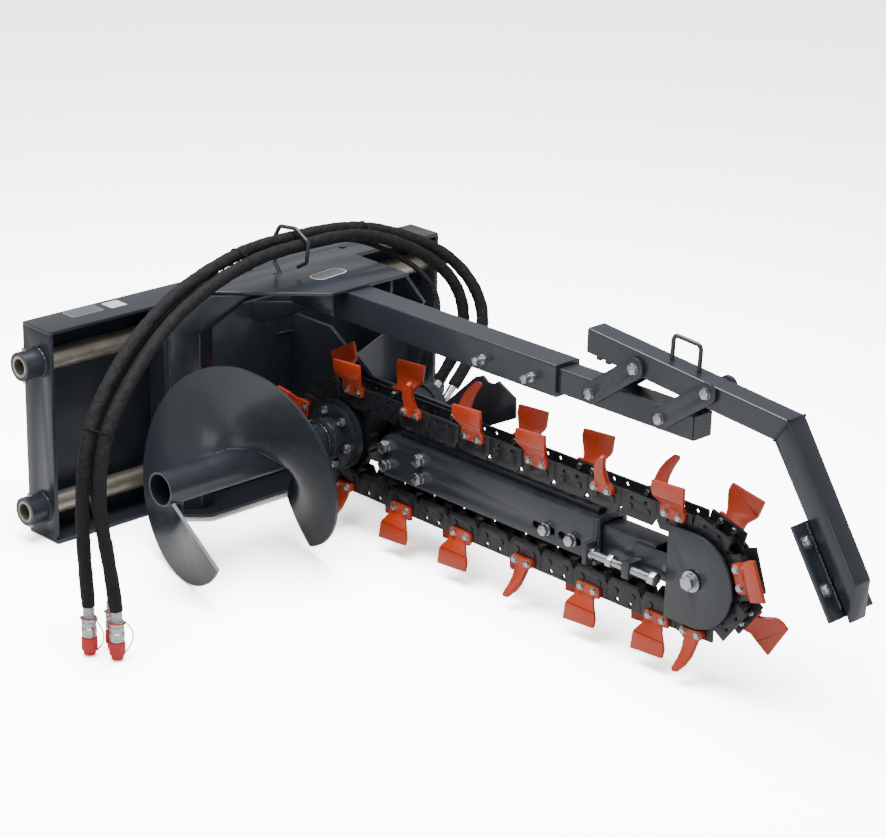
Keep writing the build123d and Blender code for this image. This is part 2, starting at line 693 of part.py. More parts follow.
nose_radius = 108.0
nose_rear = 74.0                 # how far the plates reach behind the axle
with BuildPart() as nose_plates:
    for side in (-1, 1):
        start = boom_x + side * (ext_half + arm_sheet)
        stop = boom_x + side * (ext_half + arm_sheet + 8)
        with BuildSketch(Plane.YZ.offset(start)) as d_shape:
            with Locations((nose_y, hub_z)):
                Circle(nose_radius)
                Circle(16, mode=Mode.SUBTRACT)
            with Locations((nose_y + nose_rear / 2, hub_z)):
                Rectangle(nose_rear, 2 * nose_radius)
            with Locations((nose_y + nose_rear + 60, hub_z)):
                Rectangle(120, 4 * nose_radius, mode=Mode.SUBTRACT)
            with Locations((nose_y, hub_z)):
                Circle(16, mode=Mode.SUBTRACT)
        extrude(d_shape.sketch, amount=stop - start)
save(nose_plates, "nose_plates")

with BuildPart() as nose_axle:
    reach = ext_half + arm_sheet + 8
    rod_x(boom_x - reach - 4, boom_x + reach + 4, nose_y, hub_z, 16)
    rod_x(boom_x - reach - 8, boom_x - reach, nose_y, hub_z, 24)
    hexagon_x(boom_x - reach - 8, boom_x - reach - 22, nose_y, hub_z, 30)
    hexagon_x(boom_x + reach, boom_x + reach + 14, nose_y, hub_z, 30)
save(nose_axle, "nose_axle")

with BuildPart() as nose_roller:
    rod_x(boom_x - 14, boom_x + 14, nose_y, hub_z, sprocket_radius)
    rod_x(boom_x - ext_half + air, boom_x - 14, nose_y, hub_z, 40)
    rod_x(boom_x + 14, boom_x + ext_half - air, nose_y, hub_z, 40)
    rod_x(boom_x - ext_half + air, boom_x + ext_half - air, nose_y, hub_z, 16.05, Mode.SUBTRACT)
save(nose_roller, "nose_roller")

with BuildPart() as tension_screw:
    rod_y(screw_x, -1420, bar_end_y - 1, screw_z, 10)
    for y0, y1 in ((-1296, -1280), (-1420, -1402)):
        with BuildSketch(Plane.XZ.offset(-y1)) as nut_shape:
            with Locations((screw_x, screw_z)):
                RegularPolygon(16, 6)
        extrude(nut_shape.sketch, amount=y1 - y0)
    rod_y(screw_x, bar_end_y - 12, bar_end_y - 1, screw_z, 14)
save(tension_screw, "tension_screw")

# ---------------------------------------------------------------- crumber
half_tube = crumber_tube / 2
cavity_half = half_tube - crumber_wall
with BuildPart() as outer_tube:
    box_at(boom_x - half_tube, boom_x + half_tube, crumber_end_y, crumber_start_y,
           crumber_z - half_tube, crumber_z + half_tube)
    fillet(outer_tube.edges().filter_by(Axis.Y), 5)
    box_at(boom_x - cavity_half, boom_x + cavity_half, crumber_end_y, crumber_start_y,
           crumber_z - cavity_half, crumber_z + cavity_half, Mode.SUBTRACT)
save(outer_tube, "crumber_outer_tube")

screw_row_z = crumber_z - 8
with BuildPart() as tube_screws:
    for y in (-851, -1005):
        hexagon_x(boom_x - half_tube - 9, boom_x - half_tube, y, screw_row_z, 22)
        rod_x(boom_x - half_tube - 22, boom_x - half_tube - 9, y, screw_row_z, 6)
        hexagon_x(boom_x - half_tube - 22, boom_x - half_tube - 32, y, screw_row_z, 18)
save(tube_screws, "crumber_clamp_screws")

half_inner = inner_tube / 2
pivot_ys = (link_rear_y, link_rear_y - link_spacing)
with BuildPart() as inner_slide:
    box_at(boom_x - half_inner, boom_x + half_inner, inner_end_y, -860,
           crumber_z - half_inner, crumber_z + half_inner)
    fillet(inner_slide.edges().filter_by(Axis.Y), 4)
    inner_cavity = half_inner - inner_wall
    box_at(boom_x - inner_cavity, boom_x + inner_cavity, inner_end_y, -860,
           crumber_z - inner_cavity, crumber_z + inner_cavity, Mode.SUBTRACT)
    box_at(boom_x - half_inner + 2, boom_x + half_inner - 2, inner_end_y - 4, inner_end_y + inner_wall,
           crumber_z - half_inner + 2, crumber_z + half_inner - 2)
    for y in pivot_ys:
        rod_x(boom_x - half_inner, boom_x + half_inner, y, crumber_z, 8, Mode.SUBTRACT)
save(inner_slide, "crumber_inner_tube")

with BuildPart() as lower_pivots:
    for y in pivot_ys:
        rod_x(boom_x - half_inner - 14, boom_x + half_inner + 14, y, crumber_z, 8)
        for side in (-1, 1):
            face = boom_x + side * (half_inner + 10)
            hexagon_x(face, face + side * 9, y, crumber_z, 22)
save(lower_pivots, "lower_pivot_bolts")

link_angle = math.degrees(math.atan2(link_rise, -link_back))
link_length = math.hypot(link_back, link_rise)
for y, name in ((pivot_ys[0], "rear"), (pivot_ys[1], "front")):
    hole = 8.05 if name == "rear" else 8.4
    with BuildPart() as link_pair:
        for side in (-1, 1):
            start = boom_x + side * (half_inner + 1)
            with BuildSketch(Plane.YZ.offset(start)) as link_shape:
                with Locations(Location(((2 * y - link_back) / 2, crumber_z + link_rise / 2), link_angle)):
                    SlotCenterToCenter(link_length, link_width)
                with Locations((y, crumber_z)):
                    Circle(8.05, mode=Mode.SUBTRACT)
                with Locations((y - link_back, crumber_z + link_rise)):
                    Circle(hole, mode=Mode.SUBTRACT)
            extrude(link_shape.sketch, amount=side * 8)
    save(link_pair, "lift_links_" + name)

upper_z = crumber_z + link_rise
upper_ys = [y - link_back for y in pivot_ys]
half_arm = arm_square / 2
fall = math.tan(math.radians(bar_tilt))
mid_y = (upper_ys[0] + upper_ys[1]) / 2
rear_y = -1156.0
bend_top = (-1713.0, upper_z + half_arm - fall * (mid_y + 1713))
bend_low = (-1680.0, upper_z - half_arm - fall * (mid_y + 1680))
arm_low_top = (-1909.0, 362.0)
rear_top = upper_z + half_arm - fall * (mid_y - rear_y)
with BuildPart() as arm_upper:
    plate_yz(boom_x - half_arm, boom_x + half_arm,
             [(rear_y, rear_top), bend_top, bend_low, (rear_y, rear_top - arm_square)])
    fillet(arm_upper.edges().filter_by(lambda e: abs((e % 0).Y) > 0.9), 4)
    for y in (rear_y - 18, rear_y - 44):
        low_edge = rear_top - arm_square + fall * (y - rear_y)
        box_at(boom_x - 16, boom_x + 16, y - 12, y, low_edge - 12, low_edge + 6)
    for y in upper_ys:
        rod_x(boom_x - half_arm, boom_x + half_arm, y, upper_z, 8, Mode.SUBTRACT)
save(arm_upper, "crumber_arm_upper")

foot_low = (-1904.0, 275.0)
foot_in = (-1893.0, 297.0)
with BuildPart() as arm_lower:
    plate_yz(boom_x - half_arm, boom_x + half_arm,
             [bend_top, arm_low_top, foot_low, foot_in, bend_low])
save(arm_lower, "crumber_arm_lower")

with BuildPart() as upper_pivots:
    for y in upper_ys:
        rod_x(boom_x - half_inner - 14, boom_x + half_inner + 14, y, upper_z, 8)
        for side in (-1, 1):
            face = boom_x + side * (half_inner + 10)
            hexagon_x(face, face + side * 9, y, upper_z, 22)
save(upper_pivots, "upper_pivot_bolts")

with BuildPart() as arm_handle:
    foot_a = (-1374.0, upper_z + half_arm - fall * (mid_y + 1374))
    foot_b = (-1450.0, upper_z + half_arm - fall * (mid_y + 1450))
    with BuildLine() as handle_line:
        FilletPolyline((boom_x, foot_a[0], foot_a[1] - 1), (boom_x, foot_a[0] - 2, foot_a[1] + 58),
                       (boom_x, foot_b[0] - 2, foot_b[1] + 60), (boom_x, foot_b[0], foot_b[1] - 1),
                       radius=12)
    with BuildSketch(Plane(origin=handle_line.line @ 0, z_dir=handle_line.line % 0)) as handle_round:
        Circle(5)
    sweep(handle_round.sketch, path=handle_line.wires()[0])
    add(arm_upper.part, mode=Mode.SUBTRACT)
save(arm_handle, "crumber_handle")

# Shoe: a flat plate across the lower arm, on the side that faces the chain.
arm_run = (arm_low_top[0] - bend_top[0], arm_low_top[1] - bend_top[1])
run_length = math.hypot(*arm_run)
run = (arm_run[0] / run_length, arm_run[1] / run_length)
inward = (-run[1], run[0])


def along_shoe(distance, depth):
    """Point beside the inner face of the lower arm."""
    base = (bend_low[0] + run[0] * distance, bend_low[1] + run[1] * distance)
    return (base[0] + inward[0] * depth, base[1] + inward[1] * depth)


shoe_half = 70.0
shoe_tilt = math.degrees(math.atan2(inward[1], inward[0])) - 90
shoe_spots = [(x, distance) for x in (boom_x - 48, boom_x + 48) for distance in (215, 320)]
with BuildPart() as shoe:
    plate_yz(boom_x - shoe_half, boom_x + shoe_half,
             [along_shoe(175, 0.0), along_shoe(385, 0.0), along_shoe(385, 8), along_shoe(175, 8)])
    for x, distance in shoe_spots:
        with Locations(Location((x, *along_shoe(distance, 4)), (shoe_tilt, 0, 0))):
            Cylinder(6.5, 30, mode=Mode.SUBTRACT)
save(shoe, "crumber_shoe")

with BuildPart() as shoe_bolts:
    for x, distance in shoe_spots:
        for depth, radius, height in ((-2, 16, 4), (4, 6.5, 24), (-7, 11, 6)):
            with Locations(Location((x, *along_shoe(distance, depth)), (shoe_tilt, 0, 0))):
                Cylinder(radius, height)
save(shoe_bolts, "crumber_shoe_bolts")

# ---------------------------------------------------------------- hoses
guide_y = deck_rear_y
with BuildPart() as hose_guide:
    with BuildLine() as guide_line:
        FilletPolyline((-88, guide_y + 5, plate_high_z - 4), (-88, guide_y + 26, 640),
                       (-87, guide_y + 30, 700), (-85, guide_y + 10, 734),
                       (-80, guide_y - 42, 738), (-76, guide_y - 81, 712),
                       (-74, guide_y - 74, 660), (-70, guide_y - 38, 640), radius=12)
    with BuildSketch(Plane(origin=guide_line.line @ 0, z_dir=guide_line.line % 0)) as guide_round:
        Circle(5)
    sweep(guide_round.sketch, path=guide_line.wires()[0])
    box_at(-106, -56, guide_y + 10, guide_y, plate_low_z - 14, plate_high_z)
save(hose_guide, "hose_guide")


def fillet_radii(points):
    """Largest smooth radius at every inner point of a hose route."""
    radii = []
    for before, here, after in zip(points, points[1:], points[2:]):
        back = Vector(*before) - Vector(*here)
        on = Vector(*after) - Vector(*here)
        half_turn = math.radians(180 - back.get_angle(on)) / 2
        radii.append(0.45 * min(back.length, on.length) / math.tan(half_turn))
    return radii


def hose(points, diameter, name):
    """Hose along its route, straight runs joined by tangent arcs."""
    radii = fillet_radii(points)
    print(name, "radii", [round(r) for r in radii], "length",
          round(sum((Vector(*b) - Vector(*a)).length for a, b in zip(points, points[1:]))))
    with BuildPart() as tube:
        with BuildLine() as route:
            FilletPolyline(*points, radius=radii)
        with BuildSketch(Plane(origin=route.line @ 0, z_dir=route.line % 0)) as section:
            Circle(diameter / 2)
        sweep(section.sketch, path=route.wires()[0])
    print(name, "volume ratio", round(tube.part.volume / (route.wires()[0].length * math.pi
                                                          * diameter ** 2 / 4), 4))
    save(tube, name)


hose_a_points = [
    (-935, -540, 118), (-944, -541, 232), (-945, -540, 346), (-930, -532, 452),
    (-890, -510, 530), (-815, -478, 596), (-722, -440, 650), (-620, -398, 688),
    (-496, -350, 713), (-368, -304, 724), (-235, -258, 725), (-80, -220, 712),
    (90, -198, 699), (192, -208, 682), (290, -246, 648), (384, -284, 594),
    (424, -338, 525), (432, -374, 444), (396, -386, 367), (fitting_x, port_ys[0], fitting_z)]
hose_b_points = [
    (-905, -600, 118), (-915, -592, 230), (-924, -572, 344), (-908, -560, 448),
    (-868, -538, 518), (-798, -509, 576), (-710, -470, 626), (-610, -426, 665),
    (-490, -380, 692), (-364, -336, 707), (-231, -291, 711), (-80, -254, 700),
    (88, -233, 690), (188, -241, 668), (276, -270, 628), (356, -296, 570),
    (392, -326, 502), (396, -340, 424), (372, port_ys[1], 343), (fitting_x, port_ys[1], fitting_z)]
drain_points = [
    (-880, -545, 112), (-886, -542, 230), (-905, -526, 342), (-896, -512, 436),
    (-862, -492, 502), (-796, -460, 560), (-712, -424, 612), (-610, -386, 652),
    (-488, -340, 680), (-362, -296, 694), (-228, -252, 696), (-80, -216, 684),
    (86, -196, 672), (170, -204, 652), (236, -240, 616), (284, -300, 572),
    (300, -344, 512), (272, -364, 450), (222, hub_y, 400), (200, hub_y, hub_z + 84)]
hose(hose_a_points, hose_diameter, "pressure_hose")
hose(hose_b_points, hose_diameter, "return_hose")
hose(drain_points, drain_diameter, "drain_hose")

coupler_spots = ((-935.0, -540.0, 118.0, 17.0), (-905.0, -600.0, 118.0, 17.0),
                 (-880.0, -545.0, 112.0, 12.0))
with BuildPart() as couplers:
    for x, y, top, radius in coupler_spots:
        rod_z(x, y, 92, top, radius * 0.72)
        with BuildSketch(Plane.XY.offset(80)) as nut_shape:
            with Locations((x, y)):
                RegularPolygon(radius, 6)
        extrude(nut_shape.sketch, amount=14)
        rod_z(x, y, 44, 80, radius * 0.94)
        rod_z(x, y, 50, 66, radius)
        rod_z(x, y, 28, 44, radius * 0.7)
save(couplers, "hose_couplers")

with BuildPart() as caps:
    for x, y, top, radius in coupler_spots:
        rod_z(x, y, 12, 44, radius + 1)
        rod_z(x, y, 2, 12, radius - 3)
        rod_z(x, y, 28, 44, radius * 0.7, Mode.SUBTRACT)
save(caps, "dust_caps")
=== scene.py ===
# %% [markdown]
# A chain trencher on a sliding mounting frame. The shapes and their places come from
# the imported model, and this script gives it finishes, hoses and small fittings.

# %% load the frame
import json
import math
import random

import bmesh
import bpy
from mathutils import Matrix, Vector


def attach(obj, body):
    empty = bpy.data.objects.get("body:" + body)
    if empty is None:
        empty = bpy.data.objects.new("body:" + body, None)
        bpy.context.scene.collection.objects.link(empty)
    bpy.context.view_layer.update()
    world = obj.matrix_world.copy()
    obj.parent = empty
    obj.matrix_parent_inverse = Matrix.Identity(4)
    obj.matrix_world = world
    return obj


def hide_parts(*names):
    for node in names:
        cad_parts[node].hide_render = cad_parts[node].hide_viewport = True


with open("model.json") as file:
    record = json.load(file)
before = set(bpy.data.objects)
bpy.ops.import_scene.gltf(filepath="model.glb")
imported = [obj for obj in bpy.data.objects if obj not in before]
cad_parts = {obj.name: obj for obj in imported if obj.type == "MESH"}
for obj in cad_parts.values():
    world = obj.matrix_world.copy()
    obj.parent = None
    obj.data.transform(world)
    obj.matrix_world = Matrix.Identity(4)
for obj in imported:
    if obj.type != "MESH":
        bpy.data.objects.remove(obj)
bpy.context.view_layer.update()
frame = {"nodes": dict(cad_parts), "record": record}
mm = 0.001
same_spot = 1e-6    # vertices closer than this, in metres, are merged

# %% [markdown]
# The machine is seen from ahead of its left side and from a little above, through a
# long lens, so that the boom hardly narrows. The camera leans by just over a degree.

# %% camera
turn = math.radians(-44.44)
height_angle = math.radians(20.71)
lean = math.radians(1.31)
back = Vector((math.sin(turn) * math.cos(height_angle),
               -math.cos(turn) * math.cos(height_angle), math.sin(height_angle)))
level_right = (-back).cross(Vector((0, 0, 1))).normalized()
level_up = level_right.cross(-back)
right = level_right * math.cos(lean) + level_up * math.sin(lean)
up = level_up * math.cos(lean) - level_right * math.sin(lean)
eye = bpy.data.cameras.new("camera")
eye.sensor_width = 36
eye.lens = 105.75
eye.clip_end = 60
camera = bpy.data.objects.new("camera", eye)
camera.matrix_world = Matrix((right, up, back)).transposed().to_4x4()
camera.location = (-3.991, -4.743, 2.513)
bpy.context.collection.objects.link(camera)
bpy.context.scene.camera = camera
print("camera at", tuple(round(v, 3) for v in camera.location))

# %% [markdown]
# Shader maths reads like arithmetic when a socket is wrapped in a small class: each
# operator adds one Math node. A recipe collects the nodes of one material.

# %% shader helpers
class Wire:
    """A socket that can be added, multiplied and so on."""

    def __init__(self, recipe, socket):
        self.recipe = recipe
        self.socket = socket

    def maths(self, operation, first, second):
        return self.recipe.node("Math", {"operation": operation}, {0: first, 1: second})

    def __add__(self, other):
        return self.maths("ADD", self, other)

    def __radd__(self, other):
        return self.maths("ADD", other, self)

    def __sub__(self, other):
        return self.maths("SUBTRACT", self, other)

    def __rsub__(self, other):
        return self.maths("SUBTRACT", other, self)

    def __mul__(self, other):
        return self.maths("MULTIPLY", self, other)

    def __rmul__(self, other):
        return self.maths("MULTIPLY", other, self)


class Recipe:
    """One material with a Principled shader."""

    def __init__(self, name):
        self.material = bpy.data.materials.new(name)
        self.material.use_nodes = True
        self.tree = self.material.node_tree
        self.shader = self.tree.nodes["Principled BSDF"]

    def node(self, kind, settings, inputs, out=0):
        made = self.tree.nodes.new("ShaderNode" + kind)
        stops = settings.pop("stops", None)
        for key, value in settings.items():
            setattr(made, key, value)
        if stops:
            made.color_ramp.elements[0].position, made.color_ramp.elements[1].position = stops
        for key, value in inputs.items():
            if isinstance(value, Wire):
                self.tree.links.new(value.socket, made.inputs[key])
            else:
                made.inputs[key].default_value = value
        return Wire(self, made.outputs[out])

    def place(self, size=(1, 1, 1)):
        where = self.node("TexCoord", {}, {}, "Object")
        return self.node("Mapping", {}, {"Vector": where, "Scale": size})

    def noise(self, scale, detail=3.0, size=(1, 1, 1), roughness=0.5):
        return self.node("TexNoise", {}, {"Vector": self.place(size), "Scale": scale,
                                          "Detail": detail, "Roughness": roughness})

    def ramp(self, value, start, stop):
        return self.node("ValToRGB", {"stops": (start, stop)}, {0: value})

    def mix(self, share, first, second):
        return self.node("Mix", {"data_type": "RGBA"}, {0: share, 6: first, 7: second}, 2)

    def feed(self, socket, value):
        if isinstance(value, Wire):
            self.tree.links.new(value.socket, self.shader.inputs[socket])
        else:
            self.shader.inputs[socket].default_value = value

    def bump(self, height, strength, distance):
        self.feed("Normal", self.node("Bump", {}, {"Height": height, "Strength": strength,
                                                   "Distance": distance}))


def rgb(*parts):
    return (*parts, 1.0)


# %% [markdown]
# Powder coat is never quite even: it has a fine orange peel, a slow drift of tone and
# faint dusty patches where it is duller. The same recipe with other numbers serves the
# plates, the boom and the digging teeth.

# %% painted finishes
def paint(name, dark, pale, dull, peel, coat):
    """Coat between two tones; dull is its least roughness, peel the depth of the ripple."""
    recipe = Recipe(name)
    drift = recipe.noise(3.0, 4)
    dust = recipe.ramp(recipe.noise(14.0, 6, roughness=0.65), 0.45, 0.8)
    recipe.feed("Base Color", recipe.mix(drift * 0.7 + dust * 0.25, dark, pale))
    recipe.feed("Roughness", drift * 0.08 + dust * 0.14 + dull)
    recipe.feed("Coat Weight", coat)
    recipe.feed("Coat Roughness", 0.12)
    grain = recipe.noise(900.0, 2)
    ripple = recipe.noise(160.0, 2)
    recipe.bump(grain * 0.4 + ripple, peel, 0.0004)
    return recipe.material


finish = {
    "body_paint": paint("anthracite coat", rgb(0.015, 0.020, 0.028), rgb(0.026, 0.032, 0.042),
                        0.27, 0.2, 0.35),
    "satin_paint": paint("anthracite satin", rgb(0.014, 0.018, 0.025), rgb(0.024, 0.029, 0.037),
                         0.32, 0.25, 0.3),
    "chain_black": paint("black link coat", rgb(0.006, 0.007, 0.009), rgb(0.014, 0.016, 0.020),
                         0.36, 0.5, 0.15),
    "tooth_paint": paint("orange tooth coat", rgb(0.44, 0.034, 0.007), rgb(0.54, 0.055, 0.012),
                         0.30, 0.35, 0.3),
    "motor_iron": paint("cast motor coat", rgb(0.014, 0.017, 0.021), rgb(0.026, 0.030, 0.036),
                        0.36, 1.2, 0.15),
}
print("paints", len(finish))


# %% [markdown]
# The slide tubes are bare drawn steel with an oily, yellowish film that has dried in
# blotches, drawn out along the tube. Bolts and couplers are bright zinc, slightly
# cloudy. Hoses wear a woven nylon sleeve, creased crossways. The caps are soft plastic.

# %% bare metal, sleeve and plastic
def bare_tube():
    recipe = Recipe("oiled steel")
    blotch = recipe.ramp(recipe.noise(9.0, 8, (0.5, 1, 1), 0.7), 0.38, 0.66)
    streak = recipe.noise(60.0, 5, (0.08, 1, 1), 0.7)
    recipe.feed("Base Color", recipe.mix(blotch * 0.8 + streak * 0.3, rgb(0.20, 0.18, 0.13),
                                         rgb(0.62, 0.59, 0.51)))
    recipe.feed("Roughness", 0.46 - blotch * 0.2)
    recipe.feed("Metallic", 0.85)
    recipe.bump(streak, 0.3, 0.0003)
    return recipe.material


def zinc():
    recipe = Recipe("zinc plate")
    cloud = recipe.noise(120.0, 5)
    recipe.feed("Base Color", recipe.mix(cloud, rgb(0.34, 0.36, 0.37), rgb(0.66, 0.67, 0.67)))
    recipe.feed("Roughness", 0.18 + cloud * 0.2)
    recipe.feed("Metallic", 1.0)
    recipe.bump(recipe.noise(1500.0, 2), 0.2, 0.0002)
    return recipe.material


def sleeve():
    recipe = Recipe("woven sleeve")
    crease = recipe.noise(42.0, 6, roughness=0.6)
    thread = recipe.noise(1300.0, 1)
    # Painted shade and highlight: the crease noise that shapes the fold bump also sets the colour,
    # darker in the crease hollows and lighter on the ridges; the thread noise is the weave's own
    # tone.
    recipe.feed("Base Color", recipe.mix(crease * 0.8 + thread * 0.3, rgb(0.003, 0.003, 0.004),
                                         rgb(0.015, 0.015, 0.017)))
    recipe.feed("Roughness", 0.6 + thread * 0.15)
    recipe.feed("Specular IOR Level", 0.25)
    recipe.bump(crease * 5.0 + thread * 0.25, 0.9, 0.0022)
    return recipe.material


def cap_plastic():
    recipe = Recipe("red cap plastic")
    scuff = recipe.noise(90.0, 5)
    recipe.feed("Base Color", recipe.mix(scuff, rgb(0.46, 0.016, 0.020), rgb(0.62, 0.04, 0.035)))
    recipe.feed("Roughness", 0.35 + scuff * 0.2)
    recipe.bump(recipe.noise(600.0, 2), 0.3, 0.0003)
    return recipe.material


finish["slide_steel"] = bare_tube()
finish["zinc_steel"] = zinc()
finish["hose_cover"] = sleeve()
finish["cap_plastic"] = cap_plastic()
slots = {part["node"]: part["material_slot"] for part in frame["record"]["subparts"]}
for name, thing in frame["nodes"].items():
    for place in thing.material_slots:
        place.material = finish[slots[name]]
print("finishes", sorted(finish))


# %% [markdown]
# Every new piece is built in a bmesh and then put at the origin, untransformed, riding
# on the body of the part it belongs to. Edges sharper than a set angle stay crisp.

# %% piece helpers
def settle(name, mesh_data, body, slot, stands_for=(), material=None, crisp=35):
    """Make an object of a bmesh, give it its finish and its body."""
    bmesh.ops.recalc_face_normals(mesh_data, faces=mesh_data.faces)
    mesh = bpy.data.meshes.new(name)
    mesh_data.to_mesh(mesh)
    mesh_data.free()
    mesh.materials.append(material or finish[slot])
    mesh.shade_smooth()
    mesh.set_sharp_from_angle(angle=math.radians(crisp))
    thing = bpy.data.objects.new(name, mesh)
    bpy.context.collection.objects.link(thing)
    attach(thing, body)
    if stands_for:
        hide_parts(*stands_for)
    return thing


def toward(spot, direction):
    """Matrix that stands a shape made along +Z on a spot, looking along a direction."""
    return Matrix.Translation(spot) @ Vector(direction).to_track_quat("Z", "Y").to_matrix().to_4x4()


# %% [markdown]
# Three hoses leave the motor: pressure and return, each in a woven sleeve, and a thinner
# drain. They rise over the guide, run across the machine and hang down to their couplers.
# Each is one smooth spline through given points.

# %% hose routes
routes = {
    "pressure_hose": [
        (-935, -540, 118), (-944, -541, 232), (-945, -540, 346), (-930, -532, 452),
        (-890, -510, 530), (-815, -478, 596), (-722, -440, 650), (-620, -398, 688),
        (-496, -350, 713), (-368, -304, 724), (-235, -258, 725), (-80, -220, 712),
        (90, -198, 699), (192, -208, 682), (290, -246, 648), (384, -284, 594),
        (424, -338, 525), (432, -374, 444), (396, -386, 367), (315, -386, 286)],
    "return_hose": [
        (-905, -600, 118), (-915, -592, 230), (-924, -572, 344), (-908, -560, 448),
        (-868, -538, 518), (-798, -509, 576), (-710, -470, 626), (-610, -426, 665),
        (-490, -380, 692), (-364, -336, 707), (-231, -291, 711), (-80, -254, 700),
        (88, -233, 690), (188, -241, 668), (276, -270, 628), (356, -296, 570),
        (392, -326, 502), (396, -340, 424), (372, -334, 343), (315, -334, 286)],
    "drain_hose": [
        (-880, -545, 112), (-886, -542, 230), (-905, -526, 342), (-896, -512, 436),
        (-862, -492, 502), (-796, -460, 560), (-712, -424, 612), (-610, -386, 652),
        (-488, -340, 680), (-362, -296, 694), (-228, -252, 696), (-80, -216, 684),
        (86, -196, 672), (170, -204, 652), (236, -240, 616), (284, -300, 572),
        (300, -344, 512), (272, -364, 450), (222, -360, 400), (200, -360, 326)],
}
widths = {"pressure_hose": 32, "return_hose": 32, "drain_hose": 14}


def hose_line(name, points):
    """Smooth line through the route, as an ordered list of points."""
    curve = bpy.data.curves.new(name, "CURVE")
    curve.dimensions = "3D"
    line = curve.splines.new("NURBS")
    line.points.add(len(points) - 1)
    for knot, (x, y, z) in zip(line.points, points):
        knot.co = (x * mm, y * mm, z * mm, 1)
    line.order_u = 3
    line.use_endpoint_u = True
    line.resolution_u = 26
    thing = bpy.data.objects.new(name, curve)
    bpy.context.collection.objects.link(thing)
    current = thing.evaluated_get(bpy.context.evaluated_depsgraph_get())
    bare = bpy.data.meshes.new_from_object(current)
    places = [v.co.copy() for v in bare.vertices]
    bpy.data.objects.remove(thing)
    return places


# %% [markdown]
# A woven sleeve is wider than its hose, so it bunches into shallow cross folds. Rings are
# set along the line, each a little fatter or thinner, and bridged one to the next.

# %% hoses in their sleeves
def sleeved_hose(node, places, width, fold):
    """Tube of rings along the line; fold is the depth of the creases."""
    draw = random.Random(node)
    tube = bmesh.new()
    rings = []
    forward = (places[1] - places[0]).normalized()
    side = forward.orthogonal().normalized()
    phase = draw.random() * 6
    for number, spot in enumerate(places):
        ahead = places[min(number + 1, len(places) - 1)] - places[max(number - 1, 0)]
        forward = ahead.normalized()
        side = (side - forward * side.dot(forward)).normalized()
        phase += draw.uniform(0.2, 1.1)
        axes = Matrix((side, forward.cross(side), forward)).transposed().to_4x4()
        made = bmesh.ops.create_circle(tube, segments=20, radius=width * mm / 2,
                                       matrix=Matrix.Translation(spot) @ axes)["verts"]
        for corner, vert in enumerate(made):
            crease = math.sin(phase + corner * 0.63) * math.sin(phase * 0.37 + corner * 1.26)
            vert.co += (spot - vert.co) * fold * (0.5 + 0.5 * crease)
        rings.append(made)
    for first, second in zip(rings, rings[1:]):
        for corner in range(len(first)):
            after = (corner + 1) % len(first)
            tube.faces.new((first[corner], first[after], second[after], second[corner]))
    for end in (rings[0], rings[-1]):
        bmesh.ops.contextual_create(tube, geom=end)
    thing = settle(node + "_run", tube, "carriage", "hose_cover", [node], crisp=60)
    run = sum((b - a).length for a, b in zip(places, places[1:]))
    print(node, "length", round(run, 3), "rings", len(rings))
    return thing, run


lines = {}
for node, points in routes.items():
    lines[node] = hose_line(node, points)
    fold = 0.10 if widths[node] > 20 else 0.02
    sleeved_hose(node, lines[node], widths[node], fold)


# %% [markdown]
# Quick couplers are turned parts, so each is one outline spun about its own axis: a ribbed
# crimp, a hexagon, a locking sleeve with a groove, and the red cap pushed over the tip.

# %% couplers and caps
def turned(target, outline, spot, steps=28):
    """Spin an outline of (radius, height) pairs, in mm, about an upright line."""
    x, y = spot
    start = [target.verts.new(((x + r) * mm, y * mm, z * mm)) for r, z in outline]
    for a, b in zip(start, start[1:]):
        target.edges.new((a, b))
    edges = [e for e in target.edges if e.verts[0] in start and e.verts[1] in start]
    bmesh.ops.spin(target, geom=start + edges, cent=(x * mm, y * mm, 0), axis=(0, 0, 1),
                   angle=2 * math.pi, steps=steps, use_merge=True)
    bmesh.ops.remove_doubles(target, verts=target.verts, dist=same_spot)


def hexagon(target, spot, bottom, top, radius):
    """Upright six-sided nut with softened corners."""
    x, y = spot
    place = Matrix.Translation((x * mm, y * mm, (bottom + top) / 2 * mm))
    nut = bmesh.ops.create_cone(target, cap_ends=True, segments=6, radius1=radius * mm,
                                radius2=radius * mm, depth=(top - bottom) * mm, matrix=place)
    edges = {e for v in nut["verts"] for e in v.link_edges}
    bmesh.ops.bevel(target, geom=list(edges), offset=radius * 0.07 * mm, affect="EDGES",
                    segments=2, profile=0.5, material=-1)


coupler_spots = {"pressure_hose": (-935, -540, 118, 17), "return_hose": (-905, -600, 118, 17),
                 "drain_hose": (-880, -545, 112, 12)}
coupler_parts = {}
for node, (x, y, top, wide) in coupler_spots.items():
    short = node.split("_")[0]
    crimp = bmesh.new()
    ribs = [(0, 92)]
    for step in range(6):
        foot = 92 + step * (top - 93) / 6
        ribs += [(wide * 0.70, foot + 0.5), (wide * 0.74, foot + 1.5), (wide * 0.74, foot + 3),
                 (wide * 0.70, foot + 4)]
    ribs += [(0, top)]
    turned(crimp, ribs, (x, y))
    hexagon(crimp, (x, y), 80, 93, wide)
    turned(crimp, [(0, 79.9), (wide * 0.94, 79.9), (wide * 0.96, 78), (wide * 0.94, 70),
                   (wide * 0.90, 68.6), (wide * 0.90, 67), (wide, 65.6), (wide, 52),
                   (wide * 0.92, 50.4), (wide * 0.92, 46), (wide * 0.7, 44), (wide * 0.7, 30),
                   (0, 30)], (x, y))
    coupler = settle(short + "_coupler", crimp, "carriage", "zinc_steel")
    shell = bmesh.new()
    turned(shell, [(0, 2), (wide - 6, 2), (wide - 4, 3), (wide - 3, 6), (wide - 3, 11),
                   (wide - 0.5, 13), (wide + 1, 15), (wide + 1, 41), (wide, 44),
                   (wide * 0.72, 44), (wide * 0.72, 40), (0, 40)], (x, y))
    cap = settle(short + "_cap", shell, "carriage", "cap_plastic")
    coupler_parts[node] = [coupler, cap]
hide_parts("hose_couplers")
